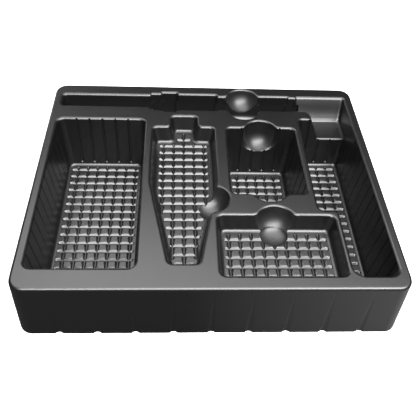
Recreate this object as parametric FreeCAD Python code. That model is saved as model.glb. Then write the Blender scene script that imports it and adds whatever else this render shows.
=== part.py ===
"""Thermoformed insert tray: one drawn sheet with five pockets, a stepped slot and finger recesses.

Units are millimetres, +Z is up, +X runs along the long side and the origin lies on the ground
under the middle of the tray.  Long, middle and tall pockets are deep; bottle and lower pockets
are shallow.  The body is the outer form less an inner form that lies one sheet thickness inside.
"""
import FreeCAD, Part
import math
import os

os.makedirs("parts", exist_ok=True)

# Sheet and outer form
SHEET = 1.2
DECK_LENGTH = 313.0
DECK_WIDTH = 264.0
HEIGHT = 59.2
SKIRT_SPREAD = 3.1
DECK_CORNER = 12.0
DECK_EDGE = 2.5
LIP = 2.0
FLOOR_FILLET = 2.0

# Flutes down the skirt
FLUTE_PITCH = 31.5
FLUTE_FOOT_RADIUS = 3.4
FLUTE_TOP_RADIUS = 1.0
FLUTE_START = 4.0
FLUTE_SIDES = 8
LONG_SIDE_FLUTES = 9
SHORT_SIDE_FLUTES = 7

# Heights of the floors
DEEP_FLOOR = 4.0
SHALLOW_FLOOR = 42.0
SLOT_FLOOR = 39.2
SHELF_FLOOR = 36.7

# Rims and webs of the deck
SIDE_RIM = 8.4
FRONT_RIM = 13.1
LONG_BOTTLE_WEB = 7.7
BOTTLE_MIDDLE_WEB = 11.9
MIDDLE_TALL_WEB = 6.1
LOWER_TALL_WEB = 4.4

# Long pocket, which takes the width that the others leave
LONG_LENGTH = 185.9
LONG_FRONT_RIM = 20.6
LONG_CORNER = 7.0

# Bottle pocket
BODY_WIDTH = 60.8
BODY_LENGTH = 77.1
TAPER_LENGTH = 93.0
TAPER_END_WIDTH = 25.2
NECK_WIDTH = 26.7
NECK_LENGTH = 17.5
NECK_OFFSET = 0.5
BOTTLE_FRONT_RIM = 25.0
BOTTLE_CORNER = 5.0
TAPER_BLEND = 60.0

# Middle pocket
MIDDLE_WIDTH = 68.6
MIDDLE_LENGTH = 92.0
MIDDLE_FRONT_RIM = 103.5
MIDDLE_CORNER = 5.5

# Lower pocket
LOWER_OVERLAP = 2.3
LOWER_LENGTH = 64.2
LOWER_CORNER = 5.5

# Tall pocket
TALL_WIDTH = 54.1
TALL_LENGTH = 197.3
TALL_STEP = 17.3
TALL_STEP_LENGTH = 70.1
TALL_CORNER = 7.0
TALL_STEP_CORNER = 4.5

# Slot along the back: reach of the shank in front of and behind the centre line, then the length
# and the two reaches of each further step; the shank takes the length that they leave
SLOT_CENTRE_RIM = 27.4
SLOT_CORNER = 1.2
SLOT_END_CORNER = 4.0
SLOT_FILLET = 4.0
SLOT_SHELF_REACH = 30.1
SLOT_SHANK = (8.6, 10.6)
SLOT_STEPS = (
    (11.0, 13.6, 13.2),
    (16.5, 16.3, 15.9),
    (41.5, 13.3, 13.2),
    (44.0, 11.6, 10.0),
    (32.0, 12.7, 11.5),
    (30.0, 12.7, 9.9),
)

# Handle pocket behind the tall pocket
HANDLE_LENGTH = 40.9
HANDLE_BACK_RIM = 15.5
HANDLE_CORNER = 4.0
HANDLE_LEFT_DRAFT = 10.5
HANDLE_RIGHT_DRAFT = 2.0
HANDLE_BACK_DRAFT = 2.7
HANDLE_BACK_FILLET = 10.0

# Finger recesses: radius and straight depth above the round bottom, then their places
SLOT_RECESS = (16.0, 1.5)
SLOT_RECESS_LENGTH = 17.9
SLOT_RECESS_FRONT = 11.1
SLOT_RECESS_PLACE = 27.0
MIDDLE_RECESS = (16.0, 11.7)
MIDDLE_RECESS_INSET = 5.0
LOWER_RECESS = (16.9, 4.9)
LOWER_RECESS_INSET = 6.5
BOTTLE_RECESS = (15.5, 6.3)
BOTTLE_RECESS_INSET = 6.4
BOTTLE_RECESS_PLACE = 72.0

# How far a wall comes in by the time it reaches its floor
DEEP_DRAFT_X = 4.8
DEEP_DRAFT_Y = 7.0
SHALLOW_DRAFT = 2.8
SLOT_DRAFT = 2.4

# Anti-slip lattice pressed into the floors
GROOVE_HALF_WIDTH = 1.8
GROOVE_DEPTH = 1.7
GROOVE_END = 1.6
GROOVE_RISE = 0.4
GROOVE_MARGIN = 3.2

# Lattice of each pocket: first column from the left wall, columns, first row from the back wall,
# rows and pitch
LONG_LATTICE = (14.6, 7, 15.5, 16, 10.0)
BOTTLE_LATTICE = (10.6, 5, 17.0, 17, 9.92)
MIDDLE_LATTICE = (14.2, 5, 18.5, 7, 9.77)
LOWER_LATTICE = (10.4, 9, 13.7, 5, 9.80)
TALL_LATTICE = (7.2, 4, 14.6, 18, 9.92)

# Limits that keep small roundings buildable
SMALLEST_CORNER = 0.3
LONGEST_RUN = 0.48
ABOVE = 1.0

deck_x = DECK_LENGTH / 2
deck_y = DECK_WIDTH / 2
DEEP = HEIGHT - DEEP_FLOOR
SHALLOW = HEIGHT - SHALLOW_FLOOR


def moved_corners(corners, insets):
    """Corners of a closed outline whose sides each move inwards by their own inset."""
    count = len(corners)
    lines = []
    for i in range(count):
        x0, y0 = corners[i][:2]
        x1, y1 = corners[(i + 1) % count][:2]
        length = math.hypot(x1 - x0, y1 - y0)
        nx, ny = -(y1 - y0) / length, (x1 - x0) / length
        lines.append((nx, ny, nx * x0 + ny * y0 + insets[i]))
    points = []
    for i in range(count):
        ax, ay, a = lines[i - 1]
        bx, by, b = lines[i]
        det = ax * by - ay * bx
        points.append(((a * by - b * ay) / det, (ax * b - bx * a) / det))
    return points


def outline(corners, insets, swell, z):
    """Closed wire at one height; sides move in by their insets, then all move out by swell."""
    points = moved_corners(corners, [inset - swell for inset in insets])
    count = len(points)
    arcs = []
    for i in range(count):
        x, y = points[i]
        ux, uy = points[i - 1][0] - x, points[i - 1][1] - y
        vx, vy = points[(i + 1) % count][0] - x, points[(i + 1) % count][1] - y
        before, after = math.hypot(ux, uy), math.hypot(vx, vy)
        ux, uy, vx, vy = ux / before, uy / before, vx / after, vy / after
        half = math.acos(ux * vx + uy * vy) / 2
        convex = ux * vy - uy * vx < 0
        radius = max(corners[i][2] + (swell if convex else -swell), SMALLEST_CORNER)
        run = min(radius / math.tan(half), before * LONGEST_RUN, after * LONGEST_RUN)
        radius = run * math.tan(half)
        reach = (radius / math.sin(half) - radius) / math.hypot(ux + vx, uy + vy)
        arcs.append((
            FreeCAD.Vector(x + ux * run, y + uy * run, z),
            FreeCAD.Vector(x + (ux + vx) * reach, y + (uy + vy) * reach, z),
            FreeCAD.Vector(x + vx * run, y + vy * run, z),
        ))
    edges = []
    for i in range(count):
        edges.append(Part.Arc(*arcs[i]).toShape())
        edges.append(Part.LineSegment(arcs[i][2], arcs[(i + 1) % count][0]).toShape())
    return Part.Wire(edges)


def loft(corners, sections):
    """Solid through outlines given as (height, insets, swell)."""
    return Part.makeLoft([outline(corners, insets, swell, z) for z, insets, swell in sections], True, True)


def quarter(radius, steps):
    """Points of a quarter round as (distance along the flat, distance down the wall)."""
    turn = math.pi / 2 / steps
    return [(radius * (1 - math.sin(turn * k)), radius * (1 - math.cos(turn * k))) for k in range(steps + 1)]


def pocket(corners, drafts, depth, grow, fillet=FLOOR_FILLET, extra=0.0, steps=2):
    """Cutter of a drafted pocket; grow is the sheet for the form under it, 0 for the top side."""
    def insets(deep):
        return [draft * deep / depth for draft in drafts]

    if grow:
        bottom = depth + grow + extra
        return loft(corners, [(HEIGHT + ABOVE, insets(0), grow), (HEIGHT - bottom, insets(bottom), grow)])
    sections = [(HEIGHT + ABOVE, insets(0), LIP)]
    for along, deep in quarter(LIP, 2):
        sections.append((HEIGHT - deep, insets(deep), along))
    for along, up in reversed(quarter(fillet, steps)):
        sections.append((HEIGHT - depth + up, insets(depth - up), -along))
    return loft(corners, sections)


def bowl(x, y, size, grow, length=0.0):
    """Finger recess: a round well with a spherical bottom, drawn out along Y by length."""
    radius, straight = size[0] + grow, size[1]
    centre = HEIGHT - straight
    axis = FreeCAD.Vector(x, y, 0)
    points = [(0, HEIGHT + ABOVE), (radius + LIP, HEIGHT + ABOVE), (radius + LIP, HEIGHT)]
    if grow:
        points = [(0, HEIGHT + ABOVE), (radius, HEIGHT + ABOVE)]
    profile = [FreeCAD.Vector(x + px, y, pz) for px, pz in points]
    edges = [Part.LineSegment(a, b).toShape() for a, b in zip(profile, profile[1:])]
    wall = profile[-1]
    if not grow:
        bend = LIP * (1 - math.sqrt(0.5))
        wall = FreeCAD.Vector(x + radius, y, HEIGHT - LIP)
        edges.append(Part.Arc(profile[-1], FreeCAD.Vector(x + radius + bend, y, HEIGHT - bend), wall).toShape())
    spring = FreeCAD.Vector(x + radius, y, min(centre, HEIGHT - LIP))
    if wall.z - spring.z > 0.01:
        edges.append(Part.LineSegment(wall, spring).toShape())
    else:
        spring = wall
    angle = math.asin((centre - spring.z) / radius) if spring.z < centre else 0.0
    middle = (angle + math.pi / 2) / 2
    edges.append(Part.Arc(
        spring,
        FreeCAD.Vector(x + radius * math.cos(middle), y, centre - radius * math.sin(middle)),
        FreeCAD.Vector(x, y, centre - radius),
    ).toShape())
    edges.append(Part.LineSegment(FreeCAD.Vector(x, y, centre - radius), profile[0]).toShape())
    face = Part.Face(Part.Wire(edges))
    well = face.revolve(axis, FreeCAD.Vector(0, 0, 1), 360)
    if not length:
        return well
    far = well.translated(FreeCAD.Vector(0, length, 0))
    half = face.mirror(axis, FreeCAD.Vector(1, 0, 0))
    along = FreeCAD.Vector(0, length, 0)
    return well.fuse([far, face.extrude(along), half.extrude(along)]).removeSplitter()


def box_corners(left, front, right, back, corner):
    return [(left, front, corner), (right, front, corner), (right, back, corner), (left, back, corner)]


def step_edge(steps, x, centre, column, side):
    """One long edge of the stepped slot; steps of equal reach run on without a corner."""
    corners = []
    for step in steps:
        y = centre + side * step[column]
        if corners and corners[-1][1] == y:
            corners.pop()
        else:
            corners.append((x, y, SLOT_CORNER))
        x += step[0]
        corners.append((x, y, SLOT_CORNER))
    return corners


def span(points, axis, value):
    """Where a line at a fixed X (axis 0) or Y (axis 1) enters and leaves an outline."""
    hits = []
    for i in range(len(points)):
        a, b = points[i - 1], points[i]
        if (a[axis] - value) * (b[axis] - value) < 0:
            share = (value - a[axis]) / (b[axis] - a[axis])
            hits.append(a[1 - axis] + share * (b[1 - axis] - a[1 - axis]))
    return (min(hits), max(hits)) if hits else None


def groove(axis, place, start, end, floor):
    """V groove in a floor, pointed at both ends, running along X (axis 1) or along Y (axis 0)."""
    half = GROOVE_HALF_WIDTH * (1 + GROOVE_RISE / GROOVE_DEPTH)
    top, bottom = floor + GROOVE_RISE, floor - GROOVE_DEPTH
    corners = []
    for along, aside, z in (
        (start, -half, top), (end, -half, top), (end, half, top), (start, half, top),
        (start + GROOVE_END, 0, bottom), (end - GROOVE_END, 0, bottom),
    ):
        corners.append(FreeCAD.Vector(along, place + aside, z) if axis else FreeCAD.Vector(place + aside, along, z))
    sides = ((0, 1, 2, 3), (0, 1, 5, 4), (3, 2, 5, 4), (0, 3, 4), (1, 2, 5))
    faces = [Part.Face(Part.makePolygon([corners[i] for i in side + side[:1]])) for side in sides]
    return Part.makeSolid(Part.makeShell(faces))


def lattice(corners, drafts, floor, layout):
    """Crossing grooves over a floor, each kept a margin away from the walls."""
    from_left, columns, from_back, rows, pitch = layout
    edge = moved_corners(corners, [draft + GROOVE_MARGIN for draft in drafts])
    left = min(corner[0] for corner in corners)
    back = max(corner[1] for corner in corners)
    grooves = []
    for i in range(columns):
        x = left + from_left + pitch * i
        ends = span(edge, 0, x)
        if ends:
            grooves.append(groove(0, x, ends[0], ends[1], floor))
    for j in range(rows):
        y = back - from_back - pitch * j
        ends = span(edge, 1, y)
        if ends:
            grooves.append(groove(1, y, ends[0], ends[1], floor))
    return grooves


def tapered_prism(foot, foot_radius, head, head_radius):
    """Solid with FLUTE_SIDES flat sides between two level polygons of different size."""
    turns = [2 * math.pi * (k + 0.5) / FLUTE_SIDES for k in range(FLUTE_SIDES)]
    low = [foot + FreeCAD.Vector(math.sin(turn), math.cos(turn), 0) * foot_radius for turn in turns]
    high = [head + FreeCAD.Vector(math.sin(turn), math.cos(turn), 0) * head_radius for turn in turns]
    sides = [(low[k - 1], low[k], high[k], high[k - 1]) for k in range(FLUTE_SIDES)]
    faces = [Part.Face(Part.makePolygon(list(side) + [side[0]])) for side in sides + [low, high]]
    return Part.makeSolid(Part.makeShell(faces))


def skirt_flutes(grow):
    """Tapering flutes down the four sides of the skirt."""
    lean = SKIRT_SPREAD / HEIGHT
    top = HEIGHT - FLUTE_START
    flutes = []
    for count, reach, turn in (
        (LONG_SIDE_FLUTES, deck_y, 0), (SHORT_SIDE_FLUTES, deck_x, 90),
        (LONG_SIDE_FLUTES, deck_y, 180), (SHORT_SIDE_FLUTES, deck_x, 270),
    ):
        for k in range(count):
            across = (k - (count - 1) / 2) * FLUTE_PITCH
            foot = FreeCAD.Vector(across, -reach - SKIRT_SPREAD - lean * ABOVE, -ABOVE)
            head = FreeCAD.Vector(across, -reach - lean * FLUTE_START, top)
            flute = tapered_prism(foot, FLUTE_FOOT_RADIUS + grow, head, FLUTE_TOP_RADIUS + grow)
            flute.rotate(FreeCAD.Vector(0, 0, 0), FreeCAD.Vector(0, 0, 1), turn)
            flutes.append(flute)
    return flutes


# Places of the pockets on the deck
tall_right = deck_x - SIDE_RIM
tall_left = tall_right - TALL_WIDTH
middle_right = tall_left - MIDDLE_TALL_WEB
middle_left = middle_right - MIDDLE_WIDTH
middle_x = (middle_left + middle_right) / 2
bottle_right = middle_left - BOTTLE_MIDDLE_WEB
bottle_left = bottle_right - BODY_WIDTH
bottle_x = (bottle_left + bottle_right) / 2
long_right = bottle_left - LONG_BOTTLE_WEB
long_left = -deck_x + SIDE_RIM
tall_front = -deck_y + FRONT_RIM
tall_back = tall_front + TALL_LENGTH
lower_left = bottle_right - LOWER_OVERLAP
lower_right = tall_left + TALL_STEP - LOWER_TALL_WEB
lower_back = tall_front + LOWER_LENGTH
slot_y = deck_y - SLOT_CENTRE_RIM

long_corners = box_corners(
    long_left, -deck_y + LONG_FRONT_RIM, long_right, -deck_y + LONG_FRONT_RIM + LONG_LENGTH, LONG_CORNER)
long_drafts = [DEEP_DRAFT_Y, DEEP_DRAFT_X, DEEP_DRAFT_Y, DEEP_DRAFT_X]

bottle_front = -deck_y + BOTTLE_FRONT_RIM
shoulder = bottle_front + TAPER_LENGTH + BODY_LENGTH
neck_x = bottle_x + NECK_OFFSET
bottle_corners = [
    (bottle_x - TAPER_END_WIDTH / 2, bottle_front, BOTTLE_CORNER),
    (bottle_x + TAPER_END_WIDTH / 2, bottle_front, BOTTLE_CORNER),
    (bottle_right, bottle_front + TAPER_LENGTH, TAPER_BLEND),
    (bottle_right, shoulder, BOTTLE_CORNER),
    (neck_x + NECK_WIDTH / 2, shoulder, BOTTLE_CORNER),
    (neck_x + NECK_WIDTH / 2, shoulder + NECK_LENGTH, BOTTLE_CORNER),
    (neck_x - NECK_WIDTH / 2, shoulder + NECK_LENGTH, BOTTLE_CORNER),
    (neck_x - NECK_WIDTH / 2, shoulder, BOTTLE_CORNER),
    (bottle_left, shoulder, BOTTLE_CORNER),
    (bottle_left, bottle_front + TAPER_LENGTH, TAPER_BLEND),
]
bottle_drafts = [SHALLOW_DRAFT] * len(bottle_corners)

middle_front = -deck_y + MIDDLE_FRONT_RIM
middle_corners = box_corners(middle_left, middle_front, middle_right, middle_front + MIDDLE_LENGTH, MIDDLE_CORNER)
middle_drafts = long_drafts

lower_corners = box_corners(lower_left, tall_front, lower_right, lower_back, LOWER_CORNER)
lower_drafts = [SHALLOW_DRAFT] * len(lower_corners)

tall_step_x = tall_left + TALL_STEP
tall_step_y = tall_front + TALL_STEP_LENGTH
tall_corners = [
    (tall_step_x, tall_front, TALL_CORNER),
    (tall_right, tall_front, TALL_CORNER),
    (tall_right, tall_back, TALL_CORNER),
    (tall_left, tall_back, TALL_CORNER),
    (tall_left, tall_step_y, TALL_CORNER),
    (tall_step_x, tall_step_y, TALL_STEP_CORNER),
]
tall_drafts = [DEEP_DRAFT_Y, DEEP_DRAFT_X, DEEP_DRAFT_Y, DEEP_DRAFT_X, DEEP_DRAFT_Y, DEEP_DRAFT_X]

shank_right = tall_right - SLOT_SHELF_REACH - sum(step[0] for step in SLOT_STEPS)
slot_steps = ((shank_right - long_left,) + SLOT_SHANK,) + SLOT_STEPS
slot_front = step_edge(slot_steps, long_left, slot_y, 1, -1)
slot_back = step_edge(slot_steps, long_left, slot_y, 2, 1)
slot_corners = slot_front + slot_back[::-1]
slot_drafts = [SLOT_DRAFT] * len(slot_corners)
slot_corners[0] = slot_corners[0][:2] + (SLOT_END_CORNER,)
slot_corners[-1] = slot_corners[-1][:2] + (SLOT_END_CORNER,)
slot_recess_x = shank_right + sum(step[0] for step in SLOT_STEPS[:3]) + SLOT_RECESS_PLACE

handle_corners = box_corners(
    tall_right - HANDLE_LENGTH, tall_back - 4 * LIP, tall_right, deck_y - HANDLE_BACK_RIM, HANDLE_CORNER)
deck_corners = box_corners(-deck_x, -deck_y, deck_x, deck_y, DECK_CORNER)


def handle_pocket(grow):
    """Shelf behind the tall pocket: long slope on the left and a wide round up to the back wall."""
    depth = HEIGHT - SHELF_FLOOR

    def insets(deep, along):
        share = deep / depth
        return [0, HANDLE_RIGHT_DRAFT * share, HANDLE_BACK_DRAFT * min(2 * share, 1) + along, HANDLE_LEFT_DRAFT * share]

    sections = [(HEIGHT + ABOVE, insets(0, 0), grow or LIP)]
    if not grow:
        sections += [(HEIGHT - deep, insets(deep, 0), along) for along, deep in quarter(LIP, 2)]
    for along, up in reversed(quarter(HANDLE_BACK_FILLET + grow, 3)):
        deep = depth + grow - up
        sections.append((HEIGHT - deep, insets(deep, along), grow))
    return loft(handle_corners, sections)


def cutters(grow):
    """Every hollow of the deck, grown by the sheet thickness for the form under the sheet."""
    pressed = GROOVE_DEPTH if grow else 0.0
    middle_back = middle_front + MIDDLE_LENGTH
    return [
        pocket(long_corners, long_drafts, DEEP, grow, extra=pressed),
        pocket(bottle_corners, bottle_drafts, SHALLOW, grow, extra=pressed),
        pocket(middle_corners, middle_drafts, DEEP, grow, extra=pressed),
        pocket(lower_corners, lower_drafts, SHALLOW, grow, extra=pressed),
        pocket(tall_corners, tall_drafts, DEEP, grow, extra=pressed),
        pocket(slot_corners, slot_drafts, HEIGHT - SLOT_FLOOR, grow, fillet=SLOT_FILLET, steps=3),
        handle_pocket(grow),
        bowl(slot_recess_x, slot_y - SLOT_RECESS_FRONT, SLOT_RECESS, grow, SLOT_RECESS_LENGTH),
        bowl(middle_x, middle_back - MIDDLE_RECESS_INSET, MIDDLE_RECESS, grow),
        bowl(middle_x, middle_front + MIDDLE_RECESS_INSET, MIDDLE_RECESS, grow),
        bowl((lower_left + lower_right) / 2, lower_back - LOWER_RECESS_INSET, LOWER_RECESS, grow),
        bowl(bottle_right - BOTTLE_RECESS_INSET, bottle_front + BOTTLE_RECESS_PLACE, BOTTLE_RECESS, grow),
    ] + skirt_flutes(grow)


def form(swell, low, edge):
    """Tapering block with rounded corners; swell is minus the sheet for the inside."""
    lean = SKIRT_SPREAD / HEIGHT
    sections = [(low, [lean * (low - HEIGHT)] * 4, swell)]
    if edge:
        for along, deep in reversed(quarter(edge, 2)):
            sections.append((HEIGHT + swell - deep, [-lean * deep] * 4, swell - along))
    else:
        sections.append((HEIGHT + swell, [0] * 4, swell))
    return loft(deck_corners, sections)


def build_tray():
    """The whole sheet as one solid."""
    outside = form(0.0, 0.0, DECK_EDGE).cut(cutters(0.0))
    for corners, drafts, floor, layout in (
        (long_corners, long_drafts, DEEP_FLOOR, LONG_LATTICE),
        (bottle_corners, bottle_drafts, SHALLOW_FLOOR, BOTTLE_LATTICE),
        (middle_corners, middle_drafts, DEEP_FLOOR, MIDDLE_LATTICE),
        (lower_corners, lower_drafts, SHALLOW_FLOOR, LOWER_LATTICE),
        (tall_corners, tall_drafts, DEEP_FLOOR, TALL_LATTICE),
    ):
        outside = outside.cut(lattice(corners, drafts, floor, layout))
    inside = form(-SHEET, -ABOVE, 0.0).cut(cutters(SHEET))
    return outside.cut(inside)


tray = build_tray()
tray.exportStep("parts/tray.step")
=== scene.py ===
"""Thermoformed insert tray, laid out as a small add-on.

The sheet is built again at a finer grain than its CAD solid: rounded lips, blended recess
corners, pressed lattice, wall flutes and skirt flutes. Lengths are millimetres, and become
metres when the mesh is made. A depth is counted down from the deck. X runs to the right, Y to
the back.
"""
import math

import bmesh
import bpy
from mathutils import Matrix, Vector


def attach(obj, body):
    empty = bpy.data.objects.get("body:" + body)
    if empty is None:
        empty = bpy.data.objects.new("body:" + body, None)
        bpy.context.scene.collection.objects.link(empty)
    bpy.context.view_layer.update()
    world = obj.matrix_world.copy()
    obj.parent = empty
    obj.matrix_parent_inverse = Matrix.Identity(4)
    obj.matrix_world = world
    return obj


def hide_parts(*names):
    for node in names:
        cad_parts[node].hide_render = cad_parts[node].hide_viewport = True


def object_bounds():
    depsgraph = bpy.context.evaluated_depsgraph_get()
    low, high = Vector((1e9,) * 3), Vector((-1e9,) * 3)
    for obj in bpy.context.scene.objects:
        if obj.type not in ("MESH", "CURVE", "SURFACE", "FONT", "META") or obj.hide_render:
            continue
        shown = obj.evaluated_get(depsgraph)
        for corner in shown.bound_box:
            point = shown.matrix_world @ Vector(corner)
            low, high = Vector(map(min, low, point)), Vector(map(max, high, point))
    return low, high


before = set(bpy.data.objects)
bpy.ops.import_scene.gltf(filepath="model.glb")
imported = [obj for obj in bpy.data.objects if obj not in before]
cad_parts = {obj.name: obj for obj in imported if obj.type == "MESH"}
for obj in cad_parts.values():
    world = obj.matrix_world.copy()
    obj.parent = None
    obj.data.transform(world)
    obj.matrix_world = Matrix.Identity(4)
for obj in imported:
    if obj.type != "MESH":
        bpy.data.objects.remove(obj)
CAD_BOX = [list(corner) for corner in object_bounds()]

bl_info = {
    "name": "Insert Tray",
    "version": (1, 0, 0),
    "blender": (4, 5, 0),
    "location": "View3D > Sidebar > Tray",
    "description": "Builds a black thermoformed insert tray and the stage it is shown on",
    "category": "Add Mesh",
}

METRE = 0.001

# Outer form: height and half sides of the deck, from the CAD box less the spread of the skirt
SKIRT_SPREAD = 3.1
HEIGHT = round(CAD_BOX[1][2] / METRE, 1)
DECK_X = round(CAD_BOX[1][0] / METRE - SKIRT_SPREAD, 1)
DECK_Y = round(CAD_BOX[1][1] / METRE - SKIRT_SPREAD, 1)
DECK_CORNER = 12.0
DECK_EDGE = 2.6

# Depths of the floors
DEEP = 55.2
SHALLOW = 17.2
SLOT_DEPTH = 20.0
SHELF_DEPTH = 22.5

# How far walls come in on their way down
DEEP_DRAFT_X = 4.8
DEEP_DRAFT_Y = 7.0
SHALLOW_DRAFT = 2.8
SLOT_DRAFT = 2.4
DEEP_DRAFTS = (DEEP_DRAFT_Y, DEEP_DRAFT_X)
SHALLOW_DRAFTS = (SHALLOW_DRAFT,)

# Lattice groove: half width and depth of its profile, its distance from the foot of the wall, and
# its tip as shares of GROOVE_END along it and of its full section
GROOVE_PROFILE = ((0.3, 1.65), (1.45, 0.6), (1.8, 0.26), (2.25, 0.04), (2.6, -0.3))
GROOVE_MARGIN = 3.0
GROOVE_END = 2.4
GROOVE_TIP = ((0.0, 0.15), (0.12, 0.5), (0.4, 0.8), (1.0, 1.0))
GROOVE_ASIDE = 0.47

# Skirt flutes: pitch, radius at the foot and at the head, depth at the foot and at the head
SKIRT_FLUTE_PITCH = 31.5
SKIRT_FLUTE_FOOT = 4.2
SKIRT_FLUTE_HEAD = 1.6
SKIRT_FLUTE_DEPTH = 1.6
SKIRT_FLUTE_HEAD_DEPTH = 0.05
SKIRT_FLUTE_TOP = 3.0

# Wall flutes: pitch, radius on back walls and on side walls, how far their axis stands off the
# wall, how high they start over the floor, and the bulb at their foot as (height, radius)
WALL_FLUTE_PITCH = 12.8
WALL_FLUTE_RADIUS = 1.25
SIDE_FLUTE_RADIUS = 0.95
WALL_FLUTE_OFFSET = 0.35
WALL_FLUTE_FOOT = 3.0
WALL_FLUTE_BULB = ((0.0, 0.5), (0.4, 1.3), (1.2, 1.75), (2.1, 1.75), (3.0, 1.4), (3.6, 1.25))

# Grain of the sheet and the width of its patches of gloss
GRAIN = 4 / 3
CLOUD = 45.4545

# Added roughness where the sheet is drawn furthest, and how near a face is to count as that
DRAWN_HAZE = 0.1
DRAWN_REACH = 0.4

# How far cutters stand above the deck and below the foot
ABOVE = 1.0

# Least radius of a corner, and the largest share of a side that a corner takes
SMALLEST_CORNER = 0.25
LONGEST_RUN = 0.48

# Steps round a corner, down a lip or fillet, down a bowl, and round a bowl
ARC_STEPS = 7
LIP_STEPS = 5
BOWL_DOWN_STEPS = 14
BOWL_STEPS = 48


def box_corners(left, front, right, back, corner):
    return [
        (left, front, corner), (right, front, corner),
        (right, back, corner), (left, back, corner),
    ]


# Pockets: corners as X, Y and corner radius, counterclockwise from the front left
LONG = box_corners(-148.1, -111.4, -61.1, 74.5, 7.0)
MIDDLE = box_corners(19.3, -28.5, 87.9, 63.5, 5.5)
LOWER = box_corners(5.1, -118.9, 106.9, -54.7, 5.5)
TALL = [
    (111.3, -118.9, 9.0), (148.1, -118.9, 8.0), (148.1, 78.4, 4.0),
    (94.0, 78.4, 5.0), (94.0, -48.8, 7.0), (111.3, -48.8, 4.5),
]
BOTTLE = [
    (-35.6, -107.0, 5.0), (-10.4, -107.0, 5.0), (7.4, -14.0, 60.0), (7.4, 63.1, 5.0), (-9.1, 63.1, 5.0),
    (-9.1, 80.6, 5.0), (-35.8, 80.6, 5.0), (-35.8, 63.1, 5.0), (-53.4, 63.1, 5.0), (-53.4, -14.0, 60.0),
]
POCKETS = (
    (LONG, DEEP_DRAFTS, DEEP), (MIDDLE, DEEP_DRAFTS, DEEP), (TALL, DEEP_DRAFTS, DEEP),
    (BOTTLE, SHALLOW_DRAFTS, SHALLOW), (LOWER, SHALLOW_DRAFTS, SHALLOW),
)

# Slot: where each step ends along X, its front and back walls, its depth and the round at its foot
SLOT_START = -148.0
SLOT_STEPS = (
    (-57.0, 96.0, 115.2, 17.8, 2.5), (-46.0, 91.0, 117.8, 21.6, 2.5), (-29.5, 88.3, 120.5, 24.3, 2.5),
    (12.0, 91.3, 117.8, 21.4, 2.5), (56.0, 93.0, 114.6, 26.0, 8.0), (88.0, 91.9, 116.1, 20.3, 2.5),
    (98.0, 92.6, 114.5, 19.5, 2.5),
)

# Slot: slant of its shoulders, corner radii, and depth of its straight upper part
SLOT_SLANT = 0.9
SLOT_CORNER = 2.5
SLOT_END_CORNER = 4.0
SLOT_MOUTH = 9.3

# Handle shelf: its outline runs round the tip of the deck between the slot and the tall pocket.
# The left side slopes by HANDLE_SLOPE, and the back wall is an arc whose axis lies above the deck.
HANDLE_LEFT = 107.2
HANDLE = [
    (HANDLE_LEFT, 70.0, 4.0), (148.1, 70.0, 4.0), (148.1, 117.0, 3.0),
    (95.5, 117.0, 3.0), (95.5, 91.9, 2.0), (HANDLE_LEFT, 91.9, 8.0),
]
HANDLE_SLOPE = 10.5
HANDLE_RIGHT_DRAFT = 2.0
HANDLE_BACK_DRAFT = 1.5
HANDLE_BACK_DEPTH = 7.0
HANDLE_ARC = 50.0
HANDLE_ARC_TOP = -9.6
HANDLE_ARC_STEPS = 9
SHELF_FILLET = 3.0
SHELF_LIP = 2.3
SHELF_RIGHT = 149.0
SHELF_BACK = TALL[2][1]

# Finger recesses: centre, radius, straight depth and length along Y
SLOT_RECESS = ((39.0, 93.5), 16.0, 1.5, 17.9)
BACK_RECESS = ((53.6, 58.5), 16.0, 11.7, 0.0)
FRONT_RECESS = ((53.8, -22.5), 15.8, 11.7, 0.0)
LOWER_RECESS = ((55.6, -61.2), 16.9, 4.9, 0.0)
BOTTLE_RECESS = ((1.0, -35.0), 15.5, 6.3, 0.0)
RECESSES = (SLOT_RECESS, BACK_RECESS, FRONT_RECESS, LOWER_RECESS, BOTTLE_RECESS)

# Dimple in the floor under the lower recess: centre, radius and depth
DIMPLE = ((55.1, -63.4), 12.3, 5.8)

# Recess corners: how far their cutter reaches past the round, and down the recess
BLEND_MARGIN = 1.5
BLEND_REACH = 0.985
BLEND_STEPS = 12
NO_FADE = 99.0

# Lattices: outline, drafts, depth, first column X, column pitch, columns, first row Y, row pitch, rows
LATTICES = (
    (LONG, DEEP_DRAFTS, DEEP, -133.5, 10.0, 7, 59.0, 10.0, 16),
    (BOTTLE, SHALLOW_DRAFTS, SHALLOW, -42.8, 9.92, 5, 63.6, 9.92, 17),
    (MIDDLE, DEEP_DRAFTS, DEEP, 33.5, 9.77, 5, 45.0, 9.77, 7),
    (LOWER, SHALLOW_DRAFTS, SHALLOW, 15.5, 9.80, 9, -68.4, 9.80, 5),
    (TALL, DEEP_DRAFTS, DEEP, 101.0, 10.1, 4, 63.8, 9.92, 18),
)

# Skirt sides: number of flutes, distance of the deck's edge, quarter turns from the front
FLUTED_SIDES = ((9, DECK_Y, 0), (7, DECK_X, 1), (9, DECK_Y, 2), (7, DECK_X, 3))

# Walls with flutes: pocket outline, wall, place of the first flute, limit for the last
FRONT, RIGHT, BACK, LEFT = range(4)
FLUTED_WALLS = (
    (LONG, BACK, -129.7, -70.0), (LONG, LEFT, -97.0, 60.0), (LONG, RIGHT, -97.0, 60.0),
    (MIDDLE, BACK, 34.7, 74.0), (MIDDLE, RIGHT, -16.0, 50.0), (MIDDLE, LEFT, -16.0, 50.0),
    (TALL, BACK, 106.0, 145.0), (TALL, RIGHT, -104.9, 60.0),
)

# Softboxes: name, size and place in metres, all turned to the middle of the floor
SOFTBOXES = (
    ("front_softbox", (1.5, 0.5), (0.15, -0.55, 0.8)),
    ("back_softbox", (0.5, 0.2), (-0.55, 0.85, 0.28)),
    ("top_softbox", (1.6, 0.9), (0.05, 0.12, 0.95)),
)
FLOOR_SIZE = 3.0

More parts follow.
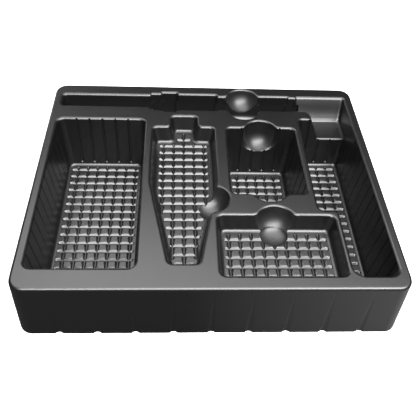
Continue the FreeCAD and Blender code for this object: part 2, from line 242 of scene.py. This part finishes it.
# Camera: place in metres, turn in degrees, lens and sensor in millimetres, shift in frame widths
CAMERA_PLACE = (-0.02695, -0.35742, 0.38749)
CAMERA_TURN = (39.487, -2.4597, -1.7935)
CAMERA_LENS = 45.0
CAMERA_SENSOR = 36.0
CAMERA_SHIFT = (0.00656, 0.08107)


def turned(arrow, angle):
    """X and Y of a flat vector turned counterclockwise by an angle."""
    c, s = math.cos(angle), math.sin(angle)
    return arrow.x * c - arrow.y * s, arrow.x * s + arrow.y * c


def moved(corners, insets):
    """Corners of an outline whose sides move inwards, each by its own inset."""
    lines = []
    for i, corner in enumerate(corners):
        after = corners[(i + 1) % len(corners)]
        dx, dy = after[0] - corner[0], after[1] - corner[1]
        length = math.hypot(dx, dy)
        nx, ny = -dy / length, dx / length
        lines.append((nx, ny, nx * corner[0] + ny * corner[1] + insets[i]))
    points = []
    for i in range(len(corners)):
        ax, ay, a = lines[i - 1]
        bx, by, b = lines[i]
        det = ax * by - ay * bx
        points.append(((a * by - b * ay) / det, (ax * b - bx * a) / det))
    return points


def ring(corners, insets, swell, z):
    """One level outline as points: every corner is an arc, and all sides move out by swell."""
    points = moved(corners, [inset - swell for inset in insets])
    out = []
    for i, (x, y) in enumerate(points):
        u = Vector(points[i - 1]) - Vector((x, y))
        v = Vector(points[(i + 1) % len(points)]) - Vector((x, y))
        before, after = u.length, v.length
        u.normalize()
        v.normalize()
        half = math.acos(max(-1.0, min(1.0, u.dot(v)))) / 2
        convex = u.x * v.y - u.y * v.x < 0
        radius = max(corners[i][2] + (swell if convex else -swell), SMALLEST_CORNER)
        run = min(radius / math.tan(half), LONGEST_RUN * before, LONGEST_RUN * after)
        radius = run * math.tan(half)
        centre = Vector((x, y)) + (u + v).normalized() * (radius / math.sin(half))
        start = Vector((x, y)) + u * run - centre
        turn = (math.pi - 2 * half) * (1 if convex else -1)
        for k in range(ARC_STEPS + 1):
            dx, dy = turned(start, turn * k / ARC_STEPS)
            out.append((centre.x + dx, centre.y + dy, z))
    return out


def quarter(radius, steps):
    """Quarter round as (distance along the flat, distance down the wall), from the flat."""
    turns = [math.pi / 2 * k / steps for k in range(steps + 1)]
    return [(radius * (1 - math.sin(turn)), radius * (1 - math.cos(turn))) for turn in turns]


def solid(rings):
    """Closed shell through rings with equal point counts: (points, faces)."""
    count = len(rings[0])
    points = [point for one in rings for point in one]
    faces = []
    for k in range(len(rings) - 1):
        low, high = k * count, (k + 1) * count
        for i in range(count):
            after = (i + 1) % count
            faces.append((low + i, low + after, high + after, high + i))
    faces.append(tuple(range(count)))
    faces.append(tuple(range(len(points) - count, len(points))))
    return points, faces


class Side:
    """Which face of the sheet a form makes: the top, or the hidden underside one sheet lower."""

    def __init__(self, grow, lip):
        self.grow = grow
        self.lip = lip - grow

    def levels(self, depth, fillet):
        """(depth, swell) from above the deck to the floor; no fillet leaves a plain wall."""
        out = [(-ABOVE, self.grow + self.lip)]
        for along, deep in quarter(self.lip, LIP_STEPS):
            out.append((self.grow + deep, self.grow + along))
        if not fillet:
            return out + [(depth, self.grow)]
        radius = fillet + self.grow
        for along, up in reversed(quarter(radius, LIP_STEPS)):
            out.append((depth + self.grow - up, self.grow - along))
        return out

    def pocket(self, corners, drafts, depth, fillet):
        """Pocket with a rounded lip, drafted walls and a fillet round its floor."""
        rings = []
        for deep, swell in self.levels(depth, fillet):
            share = max(deep, 0.0) / depth
            insets = [drafts[i % len(drafts)] * share for i in range(len(corners))]
            rings.append(ring(corners, insets, swell, HEIGHT - deep))
        return solid(rings)

    def handle(self):
        """Handle shelf: a slope on its left, and a back wall that rises in an arc."""
        fillet = SHELF_FILLET + self.grow
        bottom = SHELF_DEPTH + self.grow
        arc = HANDLE_ARC + self.grow
        turn = math.asin((bottom - HANDLE_ARC_TOP) / arc)
        rounds = [
            HANDLE_ARC_TOP + arc * math.sin(turn * k / HANDLE_ARC_STEPS)
            for k in range(1, HANDLE_ARC_STEPS)
        ]
        feet = [bottom - up for along, up in reversed(quarter(fillet, LIP_STEPS))]
        levels = self.levels(SHELF_DEPTH, 0.0)[:-1]
        lowest = levels[-1][0]
        levels += [(deep, self.grow) for deep in sorted(rounds + feet) if deep > lowest + 0.4]
        rings = []
        for deep, swell in levels:
            share = max(deep, 0.0) / SHELF_DEPTH
            low = max(deep, 0.0) - HANDLE_ARC_TOP
            back = HANDLE_BACK_DRAFT * min(max(deep, 0.0) / HANDLE_BACK_DEPTH, 1.0)
            back += arc - math.sqrt(arc * arc - low * low)
            sunk = max(deep - (bottom - fillet), 0.0)
            foot = fillet - math.sqrt(max(fillet * fillet - sunk * sunk, 0.0))
            right = HANDLE_RIGHT_DRAFT * share + foot
            slot = SLOT_DRAFT * share
            insets = [0.0, right, back, slot, slot, HANDLE_SLOPE * share]
            rings.append(ring(HANDLE, insets, swell, HEIGHT - deep))
        return solid(rings)

    def shelf_lip(self):
        """Rounds the front edge of the shelf and of its slope, above the tall pocket's back wall."""
        lean = DEEP_DRAFT_Y / DEEP
        wall = Vector((0.0, -1.0, lean)).normalized()
        slope = Vector((SHELF_DEPTH, 0.0, HANDLE_SLOPE)).normalized()
        up = Vector((0.0, 0.0, 1.0))
        mitre = (slope + up) / (1.0 + slope.z)
        radius = SHELF_LIP - self.grow
        beyond = SHELF_LIP + 0.8
        turns = [math.pi / 2 * k / 8 for k in range(9)]
        rings = []
        for x, deep, face in (
            (HANDLE_LEFT - HANDLE_SLOPE * 0.1, -0.1 * SHELF_DEPTH, slope),
            (HANDLE_LEFT + HANDLE_SLOPE, SHELF_DEPTH, mitre),
            (SHELF_RIGHT, SHELF_DEPTH, up),
        ):
            edge = Vector((x, SHELF_BACK - lean * deep, HEIGHT - deep))
            centre = edge - (face + wall) * SHELF_LIP
            points = [centre + (wall * math.cos(t) + face * math.sin(t)) * radius for t in turns]
            points += [centre + way * beyond for way in (face, face + wall, wall)]
            rings.append([tuple(point) for point in points])
        return solid(rings)

    def dimple(self):
        """Flattened round dimple pressed into the floor of the lower pocket."""
        (x, y), radius, sunk = DIMPLE
        steps = 12
        turns = [2 * math.pi * i / BOWL_STEPS for i in range(BOWL_STEPS)]
        rings = []
        for k in range(-2, steps):
            down = math.pi / 2 * k / steps
            reach = (radius + self.grow) * math.cos(down)
            z = HEIGHT - SHALLOW - self.grow - sunk * math.sin(down)
            rings.append([(x + reach * math.cos(t), y + reach * math.sin(t), z) for t in turns])
        return solid(rings)

    def slot_mouth(self):
        """Straight upper part of the stepped slot, with a slanted shoulder at each step."""
        front, back = [], []
        start = SLOT_START
        for end, near, far, bottom, foot in SLOT_STEPS:
            front += [(start + SLOT_SLANT, near, SLOT_CORNER), (end - SLOT_SLANT, near, SLOT_CORNER)]
            back += [(start + SLOT_SLANT, far, SLOT_CORNER), (end - SLOT_SLANT, far, SLOT_CORNER)]
            start = end
        corners = front + back[::-1]
        corners[0] = (SLOT_START, front[0][1], SLOT_END_CORNER)
        corners[-1] = (SLOT_START, back[0][1], SLOT_END_CORNER)
        draft = SLOT_DRAFT * SLOT_MOUTH / SLOT_DEPTH
        return self.pocket(corners, (draft,), SLOT_MOUTH, 0.0)

    def trough_section(self, reach, bottom, round_foot):
        """Section across a trough as (Y, depth): drafted walls and rounded feet."""
        bottom += self.grow
        lean = SLOT_DRAFT / SLOT_DEPTH
        foot = reach - lean * (bottom - SLOT_MOUTH)
        fillet = round_foot + self.grow
        half = [(reach - 0.2, SLOT_MOUTH - 2.0), (reach, SLOT_MOUTH)]
        half += [(foot - along, bottom - up) for along, up in reversed(quarter(fillet, 6))]
        return [(-y, deep) for y, deep in half] + [(y, deep) for y, deep in reversed(half)]

    def troughs(self):
        """Bottom under each step of the slot, closed by a wall where its neighbour is narrower."""
        draft = SLOT_DRAFT * SLOT_MOUTH / SLOT_DEPTH
        closed = ((0.0, 1.8), (0.5, 0.55), (1.8, 0.0))
        wall = [(draft - self.grow + along, less) for along, less in closed]
        overlap = [(-2.5, 0.0), (2.5, 0.0)]
        starts = [SLOT_START] + [step[0] for step in SLOT_STEPS]
        # The slot ends in a wall on the left and runs on into the wide handle shelf on the right
        widths = [0.0] + [step[2] - step[1] for step in SLOT_STEPS] + [math.inf]
        out = []
        for i, (end, near, far, bottom, foot) in enumerate(SLOT_STEPS):
            widest = (far - near) / 2 - draft + self.grow
            stations = []
            for place, inward, neighbour in ((starts[i], 1, widths[i]), (end, -1, widths[i + 2])):
                closing = wall if neighbour < widths[i + 1] else overlap
                ends = [(place + inward * along, widest - less) for along, less in closing]
                stations += ends if inward > 0 else ends[::-1]
            middle = (near + far) / 2
            rings = []
            for x, reach in stations:
                section = self.trough_section(reach, bottom, foot)
                rings.append([(x, middle + y, HEIGHT - deep) for y, deep in section])
            out.append(solid(rings))
        return out

    def bowl(self, centre, radius, straight, length):
        """Finger recess: a well with a spherical bottom, drawn out along Y by length."""
        x, y = centre
        radius += self.grow
        profile = [(radius + self.lip, -ABOVE)]
        profile += [(radius + along, self.grow + deep) for along, deep in quarter(self.lip, LIP_STEPS)]
        start = max(straight, profile[-1][1])
        first = math.asin(min(1.0, (start - straight) / radius))
        for k in range(1, BOWL_DOWN_STEPS):
            down = first + (math.pi / 2 - first) * k / BOWL_DOWN_STEPS
            profile.append((radius * math.cos(down), straight + radius * math.sin(down)))
        rings = []
        for reach, deep in profile:
            points = []
            for k in range(BOWL_STEPS):
                turn = 2 * math.pi * k / BOWL_STEPS
                shift = length if math.sin(turn) > 0 else 0.0
                across = y + shift + reach * math.sin(turn)
                points.append((x + reach * math.cos(turn), across, HEIGHT - deep))
            rings.append(points)
        return solid(rings)


def shell(points, faces, name):
    """Mesh in metres from points in millimetres, with its faces turned outwards."""
    mesh = bpy.data.meshes.new(name)
    mesh.from_pydata([Vector(point) * METRE for point in points], [], faces)
    work = bmesh.new()
    work.from_mesh(mesh)
    bmesh.ops.recalc_face_normals(work, faces=work.faces)
    work.to_mesh(mesh)
    work.free()
    return mesh


def joined(parts, name):
    """One object from closed shells that don't touch each other."""
    points, faces = [], []
    for part_points, part_faces in parts:
        first = len(points)
        points += part_points
        faces += [tuple(first + i for i in face) for face in part_faces]
    made = bpy.data.objects.new(name, shell(points, faces, name))
    bpy.context.scene.collection.objects.link(made)
    return made


def subtract(target, cutter):
    """Takes one object out of another and drops it."""
    step = target.modifiers.new("cut", "BOOLEAN")
    step.operation = "DIFFERENCE"
    step.solver = "MANIFOLD"
    step.object = cutter
    bpy.context.view_layer.update()
    depsgraph = bpy.context.evaluated_depsgraph_get()
    done = bpy.data.meshes.new_from_object(target.evaluated_get(depsgraph))
    target.modifiers.clear()
    old = target.data
    target.data = done
    bpy.data.meshes.remove(old)
    bpy.data.objects.remove(cutter)


def cut(target, parts, name):
    """Takes closed shells out of the target."""
    subtract(target, joined(parts, name))


def span(points, axis, value):
    """Where a line at fixed X (axis 0) or fixed Y (axis 1) enters and leaves an outline."""
    hits = []
    for i, b in enumerate(points):
        a = points[i - 1]
        if (a[axis] - value) * (b[axis] - value) < 0:
            share = (value - a[axis]) / (b[axis] - a[axis])
            hits.append(a[1 - axis] + share * (b[1 - axis] - a[1 - axis]))
    return (min(hits), max(hits)) if hits else None


def groove(axis, place, start, end, floor, grow):
    """Pressed groove along Y (axis 0) or X (axis 1), running out to a round tip at each end."""
    aside = GROOVE_ASIDE * grow
    profile = [(half + aside, deep + grow) for half, deep in GROOVE_PROFILE]
    section = [(-half, deep) for half, deep in reversed(profile)] + profile
    top = profile[-1][1]
    rings = []
    stations = [(start + GROOVE_END * along, size) for along, size in GROOVE_TIP]
    stations += [(end - GROOVE_END * along, size) for along, size in reversed(GROOVE_TIP)]
    for along, size in stations:
        one = []
        for across, deep in section:
            z = floor - (top + (deep - top) * size)
            x, y = place + across * size, along
            one.append((x, y, z) if axis == 0 else (y, x, z))
        rings.append(one)
    return solid(rings)


def grooves(axis, grow):
    """All grooves of one direction over every pocket floor."""
    parts = []
    for corners, drafts, depth, x, x_pitch, columns, y, y_pitch, rows in LATTICES:
        insets = [drafts[i % len(drafts)] + GROOVE_MARGIN for i in range(len(corners))]
        edge = moved(corners, insets)
        first, pitch, count = (x, x_pitch, columns) if axis == 0 else (y, -y_pitch, rows)
        for k in range(count):
            place = first + pitch * k
            ends = span(edge, axis, place)
            if ends:
                parts.append(groove(axis, place, ends[0], ends[1], HEIGHT - depth, grow))
    return parts


def flute(circles, sides):
    """Round flute through level circles, each given as its centre and radius."""
    turns = [2 * math.pi * (k + 0.5) / sides for k in range(sides)]
    rings = []
    for (x, y, z), radius in circles:
        rings.append([(x + radius * math.cos(t), y + radius * math.sin(t), z) for t in turns])
    return solid(rings)


def skirt_flutes(grow):
    """Flutes down the four sides of the skirt, narrow at the top and wide at the foot."""
    parts = []
    lean = SKIRT_SPREAD / HEIGHT
    for count, reach, turn in FLUTED_SIDES:
        for k in range(count):
            across = (k - (count - 1) / 2) * SKIRT_FLUTE_PITCH
            foot = (across, -reach - SKIRT_SPREAD - lean - SKIRT_FLUTE_FOOT + SKIRT_FLUTE_DEPTH)
            head = (
                across,
                -reach - SKIRT_FLUTE_TOP * lean - SKIRT_FLUTE_HEAD + SKIRT_FLUTE_HEAD_DEPTH,
            )
            for _ in range(turn):
                foot, head = (-foot[1], foot[0]), (-head[1], head[0])
            parts.append(flute((
                (foot + (-ABOVE,), SKIRT_FLUTE_FOOT + grow),
                (head + (HEIGHT - SKIRT_FLUTE_TOP,), SKIRT_FLUTE_HEAD + grow),
            ), 40))
    return parts


def wall_flutes(grow):
    """Thin flutes down the walls of the deep pockets, ending a little above the floor."""
    parts = []
    for corners, wall, first, last in FLUTED_WALLS:
        xs = [corner[0] for corner in corners]
        ys = [corner[1] for corner in corners]
        side = (min(ys), max(xs), max(ys), min(xs))[wall]
        draft = (DEEP_DRAFT_Y, DEEP_DRAFT_X)[wall % 2]
        inward = (1, -1, -1, 1)[wall]
        foot = WALL_FLUTE_BULB if wall == BACK else ((0.0, SIDE_FLUTE_RADIUS),)
        radius = WALL_FLUTE_RADIUS if wall == BACK else SIDE_FLUTE_RADIUS
        profile = foot + ((DEEP + 1.5 - WALL_FLUTE_FOOT, radius),)
        place = first
        while place <= last:
            circles = []
            for up, radius in profile:
                deep = DEEP - WALL_FLUTE_FOOT - up
                across = side + inward * (draft * deep / DEEP + WALL_FLUTE_OFFSET)
                spot = (place, across) if wall == BACK else (across, place)
                circles.append((spot + (HEIGHT - deep,), radius + grow))
            parts.append(flute(circles, 12))
            place += WALL_FLUTE_PITCH
    return parts


def corner_blend(recess, wall_point, inward, draft, depth, way, blend, fade, side):
    """Rounds the deck corner where a finger recess runs out through a pocket wall.

    inward is the wall's unit normal into the pocket, way (+1 or -1) picks the corner, and the
    blend follows both walls down to where the recess no longer reaches past the wall, or runs out
    at the depth of fade.
    """
    centre, radius, straight = Vector(recess[0]), recess[1], recess[2]
    normal = Vector(inward)
    along = Vector((-normal.y, normal.x)) * way
    levels = [(-ABOVE, side.lip)]
    levels += [(side.grow + deep, flare) for flare, deep in quarter(side.lip, LIP_STEPS)]
    lowest = levels[-1][0]
    run = min(straight + radius * BLEND_REACH, fade) - lowest
    levels += [(lowest + run * k / BLEND_STEPS, 0.0) for k in range(1, BLEND_STEPS + 1)]
    rings = []
    for deep, flare in levels:
        round_here = blend
        if fade != NO_FADE:
            round_here *= 1.02 - max(deep, 0.0) / fade
        below = max(deep - straight, 0.0)
        reach = math.sqrt(max(radius * radius - below * below, 0.01))
        wall = Vector(wall_point) + normal * (draft * max(deep, 0.0) / depth)
        offset = (centre - wall).dot(normal)
        room = (reach + round_here) ** 2 - (offset + round_here) ** 2
        if room <= 0.05:
            break
        # The pivot is the middle of the round, and the tip is where recess and wall cross
        pivot = centre - normal * (offset + round_here) + along * math.sqrt(room)
        tip = centre - normal * offset + along * math.sqrt(reach * reach - offset * offset)
        rounding = max(round_here - (side.grow + flare), 0.2)
        to_bowl = (centre - pivot).normalized()
        turn = math.atan2(normal.x * to_bowl.y - normal.y * to_bowl.x, normal.dot(to_bowl))
        points = [pivot + Vector(turned(normal, turn * k / 8)) * rounding for k in range(9)]
        points.append(points[-1] + to_bowl * BLEND_MARGIN)
        points.append(tip + (tip - pivot).normalized() * BLEND_MARGIN)
        points.append(points[0] + normal * BLEND_MARGIN)
        rings.append([(point.x, point.y, HEIGHT - deep) for point in points])
    return solid(rings)


def outer_form(grow):
    """Tapering block; grow is the sheet thickness for the hollow inside it, open at the foot."""
    corners = box_corners(-DECK_X, -DECK_Y, DECK_X, DECK_Y, DECK_CORNER)
    lean = SKIRT_SPREAD / HEIGHT
    low = -ABOVE if grow else 0.0
    rings = [ring(corners, [lean * (low - HEIGHT)] * 4, -grow, low)]
    for along, deep in reversed(quarter(DECK_EDGE - grow, 6)):
        rings.append(ring(corners, [-lean * (deep + grow)] * 4, -grow - along, HEIGHT - grow - deep))
    return solid(rings)


def blends(side):
    """Rounded deck corners at every finger recess."""
    x, y = BOTTLE[2][:2]
    taper = Vector((x - BOTTLE[1][0], y - BOTTLE[1][1])).normalized()
    middle_front, middle_back, lower_back = MIDDLE[0][1], MIDDLE[2][1], LOWER[2][1]
    neck_front, neck_back = SLOT_STEPS[4][1:3]
    (slot_x, slot_y), slot_radius, slot_straight, slot_length = SLOT_RECESS
    back_end = ((slot_x, slot_y + slot_length), slot_radius, slot_straight)
    ahead, behind = (0.0, 1.0), (0.0, -1.0)
    both = (1, -1)
    parts = []
    for recess, point, inward, draft, depth, blend, fade, ways in (
        (BACK_RECESS, (0.0, middle_back), behind, DEEP_DRAFT_Y, DEEP, 8.0, NO_FADE, both),
        (FRONT_RECESS, (0.0, middle_front), ahead, DEEP_DRAFT_Y, DEEP, 8.0, NO_FADE, both),
        (LOWER_RECESS, (0.0, lower_back), behind, SHALLOW_DRAFT, SHALLOW, 8.0, 16.5, both),
        (BOTTLE_RECESS, (x, y), (-taper.y, taper.x), SHALLOW_DRAFT, SHALLOW, 6.0, 12.0, (1,)),
        (SLOT_RECESS, (0.0, neck_front), ahead, SLOT_DRAFT, SLOT_DEPTH, 5.0, 3.5, both),
        (back_end, (0.0, neck_back), behind, SLOT_DRAFT, SLOT_DEPTH, 8.0, 8.0, both),
    ):
        for way in ways:
            parts.append(corner_blend(recess, point, inward, draft, depth, way, blend, fade, side))
    return parts


def drop_doubled_faces(mesh):
    """Deletes pairs of faces that lie back to back on the same corners, which hold no material."""
    work = bmesh.new()
    work.from_mesh(mesh)
    seen = {}
    for face in work.faces:
        seen.setdefault(frozenset(vert.index for vert in face.verts), []).append(face)
    doubled = [face for group in seen.values() if len(group) > 1 for face in group]
    bmesh.ops.delete(work, geom=doubled, context="FACES")
    work.to_mesh(mesh)
    work.free()


def mark_drawn(mesh):
    """Marks the faces of the finger recesses, where the sheet is drawn furthest and looks hazier."""
    values = []
    for face in mesh.polygons:
        spot = face.center / METRE
        on_bowl = 0.0
        for (x, y), radius, straight, length in RECESSES:
            nearest = min(max(spot.y, y), y + length)
            reach = (spot - Vector((x, nearest, HEIGHT - straight))).length
            if abs(reach - radius) < DRAWN_REACH:
                on_bowl = 1.0
        (x, y), radius, sunk = DIMPLE
        under_floor = HEIGHT - SHALLOW - spot.z
        if math.hypot(spot.x - x, spot.y - y) < radius and 0.5 < under_floor < sunk + 0.2:
            on_bowl = 1.0
        values.append(on_bowl)
    mesh.attributes.new("drawn", "FLOAT", "FACE").data.foreach_set("value", values)


def build_sheet(thickness, lip, fillet):
    """The whole sheet: outer form less every hollow, less the same form one sheet lower."""
    made = []
    for grow in (0.0, thickness):
        side = Side(grow, lip)
        body = joined([outer_form(grow)], "outer_form")
        troughs = side.troughs()
        # Neighbouring troughs touch, so they are cut in two turns
        for name, parts in (
            ("pockets", [side.pocket(*pocket, fillet) for pocket in POCKETS]),
            ("slot", [side.slot_mouth()]),
            ("even_troughs", troughs[0::2]),
            ("odd_troughs", troughs[1::2]),
            ("handle", [side.handle()]),
            ("shelf_lip", [side.shelf_lip()]),
            ("recesses", [side.bowl(*recess) for recess in RECESSES]),
            ("dimple", [side.dimple()]),
            ("blends", blends(side)),
            ("columns", grooves(0, grow)),
            ("rows", grooves(1, grow)),
            ("wall_flutes", wall_flutes(grow)),
            ("skirt_flutes", skirt_flutes(grow)),
        ):
            cut(body, parts, name)
        made.append(body)
    sheet, hollow = made
    subtract(sheet, hollow)
    drop_doubled_faces(sheet.data)
    sheet.name = "sheet"
    return sheet


def linear(code):
    """Turns an sRGB hex colour to the linear one that Blender takes."""
    out = []
    for k in (0, 2, 4):
        value = int(code[k:k + 2], 16) / 255
        out.append(value / 12.92 if value <= 0.04045 else ((value + 0.055) / 1.055) ** 2.4)
    return tuple(out) + (1.0,)


def add(tree, kind, inputs, **settings):
    """Adds a shader node; each input takes a value or the output socket that feeds it."""
    made = tree.nodes.new(kind)
    for name, value in settings.items():
        setattr(made, name, value)
    for key, value in inputs.items():
        if isinstance(value, bpy.types.NodeSocket):
            tree.links.new(value, made.inputs[key])
        else:
            made.inputs[key].default_value = value
    return made


def empty_tree(block):
    """Node tree of a material or world, with nothing in it."""
    block.use_nodes = True
    block.node_tree.nodes.clear()
    return block.node_tree


def thermoformed_polystyrene(colour, roughness):
    """Black polystyrene sheet, vacuum-formed on a sand-blasted mould.

    It gives the eye a black body with a soft satin sheen. The sand-blasted mould leaves a grain of
    a few tenths of a millimetre, drawn coarser here at about 1.3 mm so that it shows. The gloss
    drifts a little over 45 mm, as the sheet cools unevenly, and is hazier where it is drawn furthest.
    """
    material = bpy.data.materials.new("thermoformed_polystyrene")
    tree = empty_tree(material)
    place = add(tree, "ShaderNodeTexCoord", {}).outputs["Object"]
    grain = add(tree, "ShaderNodeTexNoise", {
        "Vector": place, "Scale": 1 / (GRAIN * METRE), "Detail": 2.0, "Roughness": 0.6})
    cloud = add(tree, "ShaderNodeTexNoise", {
        "Vector": place, "Scale": 1 / (CLOUD * METRE), "Detail": 3.0, "Roughness": 0.55})
    spread = add(tree, "ShaderNodeMapRange", {
        "Value": cloud.outputs["Fac"], "To Min": roughness - 0.03, "To Max": roughness + 0.04})
    drawn = add(tree, "ShaderNodeAttribute", {}, attribute_name="drawn")
    haze = add(tree, "ShaderNodeMath", {
        0: drawn.outputs["Fac"], 1: DRAWN_HAZE, 2: spread.outputs["Result"],
    }, operation="MULTIPLY_ADD")
    bump = add(tree, "ShaderNodeBump", {
        "Height": grain.outputs["Fac"], "Strength": 0.2, "Distance": 0.2 * METRE})
    plastic = add(tree, "ShaderNodeBsdfPrincipled", {
        "Base Color": linear(colour), "IOR": 1.57,
        "Roughness": haze.outputs["Value"], "Normal": bump.outputs["Normal"]})
    add(tree, "ShaderNodeOutputMaterial", {"Surface": plastic.outputs["BSDF"]})
    return material


def matt_floor(seen, left, right):
    """Pale matt floor that keeps the shadow.

    It throws little light back up, as a dark table would, and more of it on the right: painted
    light, a colour ramp that only bounced and reflected rays see, standing in for light from the right.
    """
    material = bpy.data.materials.new("matt_floor")
    tree = empty_tree(material)
    place = add(tree, "ShaderNodeTexCoord", {})
    split = add(tree, "ShaderNodeSeparateXYZ", {"Vector": place.outputs["Object"]})
    # Painted light: the colour that bounced and reflected rays see ramps lighter from left to right
    painted_bounce_gradient = add(tree, "ShaderNodeMapRange", {
        "Value": split.outputs["X"],
        "From Min": -0.02, "From Max": 0.17, "To Min": left, "To Max": right})
    path = add(tree, "ShaderNodeLightPath", {})
    mix = add(tree, "ShaderNodeMix", {
        "Factor": path.outputs["Is Camera Ray"], "A": painted_bounce_gradient.outputs["Result"],
        "B": (seen, seen, seen, 1.0)}, data_type="RGBA")
    paint = add(tree, "ShaderNodeBsdfPrincipled", {
        "Base Color": mix.outputs["Result"], "Roughness": 0.9})
    add(tree, "ShaderNodeOutputMaterial", {"Surface": paint.outputs["BSDF"]})
    return material


def studio_world(dim):
    """World that lights with a dim grey and looks white to the camera."""
    world = bpy.data.worlds.new("studio")
    tree = empty_tree(world)
    path = add(tree, "ShaderNodeLightPath", {})
    light = add(tree, "ShaderNodeBackground", {"Color": (dim, dim, dim, 1.0), "Strength": 1.0})
    white = add(tree, "ShaderNodeBackground", {"Color": (1.0, 1.0, 1.0, 1.0), "Strength": 1.0})
    mix = add(tree, "ShaderNodeMixShader", {
        "Fac": path.outputs["Is Camera Ray"], 1: light.outputs["Background"],
        2: white.outputs["Background"]})
    add(tree, "ShaderNodeOutputWorld", {"Surface": mix.outputs["Shader"]})
    return world


def lamp(scene, name, power, size, place):
    """Rectangular area lamp that looks from its place at the middle of the floor."""
    light = bpy.data.lights.new(name, "AREA")
    light.energy = power
    light.shape = "RECTANGLE"
    light.size, light.size_y = size
    made = bpy.data.objects.new(name, light)
    scene.collection.objects.link(made)
    made.location = place
    made.rotation_euler = (-Vector(place)).to_track_quat("-Z", "Y").to_euler()


def add_camera(scene):
    """Camera at the height and turn that the tray is usually shown from."""
    camera = bpy.data.objects.new("camera", bpy.data.cameras.new("camera"))
    scene.collection.objects.link(camera)
    camera.location = CAMERA_PLACE
    camera.rotation_euler = [math.radians(angle) for angle in CAMERA_TURN]
    camera.data.lens = CAMERA_LENS
    camera.data.sensor_width = CAMERA_SENSOR
    camera.data.shift_x, camera.data.shift_y = CAMERA_SHIFT
    camera.data.clip_start = 0.01
    camera.data.dof.use_dof = False
    scene.camera = camera


class TraySettings(bpy.types.PropertyGroup):
    """Sizes, finish and lamp powers of the tray and its stage"""
    thickness: bpy.props.FloatProperty(
        name="Sheet thickness", description="Gauge of the formed sheet",
        default=1.2 * METRE, min=0.5 * METRE, max=1.5 * METRE, precision=4, unit="LENGTH")
    lip: bpy.props.FloatProperty(
        name="Lip radius", description="Round of the deck's edge at every pocket",
        default=2.3 * METRE, min=1.8 * METRE, max=3.0 * METRE, precision=4, unit="LENGTH")
    fillet: bpy.props.FloatProperty(
        name="Floor fillet", description="Round between a pocket's walls and its floor",
        default=3.0 * METRE, min=1.0 * METRE, max=4.0 * METRE, precision=4, unit="LENGTH")
    colour: bpy.props.StringProperty(
        name="Sheet colour", description="sRGB colour of the sheet as hex", default="050506")
    roughness: bpy.props.FloatProperty(
        name="Roughness", description="How satin the sheet is",
        default=0.33, min=0.05, max=0.9, subtype="FACTOR")
    smooth_angle: bpy.props.FloatProperty(
        name="Smooth angle", description="Edges sharper than this stay sharp",
        default=math.radians(38), subtype="ANGLE")
    front: bpy.props.FloatProperty(
        name="Front softbox", description="Power of the softbox in front of the tray",
        default=48.0, subtype="POWER")
    back: bpy.props.FloatProperty(
        name="Back softbox", description="Power of the softbox behind on the left",
        default=1.0, subtype="POWER")
    top: bpy.props.FloatProperty(
        name="Top softbox", description="Power of the softbox over the tray",
        default=25.5, subtype="POWER")


class TRAY_OT_sheet(bpy.types.Operator):
    """Builds the thermoformed sheet in place of its CAD solid"""
    bl_idname = "tray.sheet"
    bl_label = "Build sheet"

    def execute(self, context):
        settings = context.scene.tray
        lengths = (settings.thickness, settings.lip, settings.fillet)
        sheet = build_sheet(*[round(length / METRE, 3) for length in lengths])
        mark_drawn(sheet.data)
        sheet.data.materials.clear()
        sheet.data.materials.append(thermoformed_polystyrene(settings.colour, settings.roughness))
        sheet.data.shade_smooth()
        sheet.data.set_sharp_from_angle(angle=settings.smooth_angle)
        weighted = sheet.modifiers.new("weighted_normals", "WEIGHTED_NORMAL")
        weighted.keep_sharp = True
        weighted.weight = 80
        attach(sheet, "root")
        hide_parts("tray")
        return {"FINISHED"}


class TRAY_OT_stage(bpy.types.Operator):
    """Adds the floor, softboxes, world and camera"""
    bl_idname = "tray.stage"
    bl_label = "Build stage"

    def execute(self, context):
        settings = context.scene.tray
        scene = context.scene
        bpy.ops.mesh.primitive_plane_add(size=FLOOR_SIZE, location=(0, 0, 0))
        floor = context.object
        floor.name = "floor"
        # The floor is white to the camera; the last two values are the painted bounce at the left and
        # at the right
        floor.data.materials.append(matt_floor(0.9, 0.01, 0.13))
        powers = (settings.front, settings.back, settings.top)
        for (name, size, place), power in zip(SOFTBOXES, powers):
            lamp(scene, name, power, size, place)
        scene.world = studio_world(0.05)
        add_camera(scene)
        scene.view_settings.view_transform = "Standard"
        return {"FINISHED"}


class TRAY_PT_panel(bpy.types.Panel):
    """Buttons and settings of the tray"""
    bl_label = "Tray"
    bl_idname = "TRAY_PT_panel"
    bl_space_type = "VIEW_3D"
    bl_region_type = "UI"
    bl_category = "Tray"

    def draw(self, context):
        column = self.layout.column()
        for name in TraySettings.__annotations__:
            column.prop(context.scene.tray, name)
        column.operator("tray.sheet")
        column.operator("tray.stage")


CLASSES = (TraySettings, TRAY_OT_sheet, TRAY_OT_stage, TRAY_PT_panel)


def register():
    for one in CLASSES:
        bpy.utils.register_class(one)
    bpy.types.Scene.tray = bpy.props.PointerProperty(type=TraySettings)


def unregister():
    del bpy.types.Scene.tray
    for one in reversed(CLASSES):
        bpy.utils.unregister_class(one)


def main():
    register()
    bpy.ops.tray.sheet()
    bpy.ops.tray.stage()


if __name__ == "__main__":
    main()
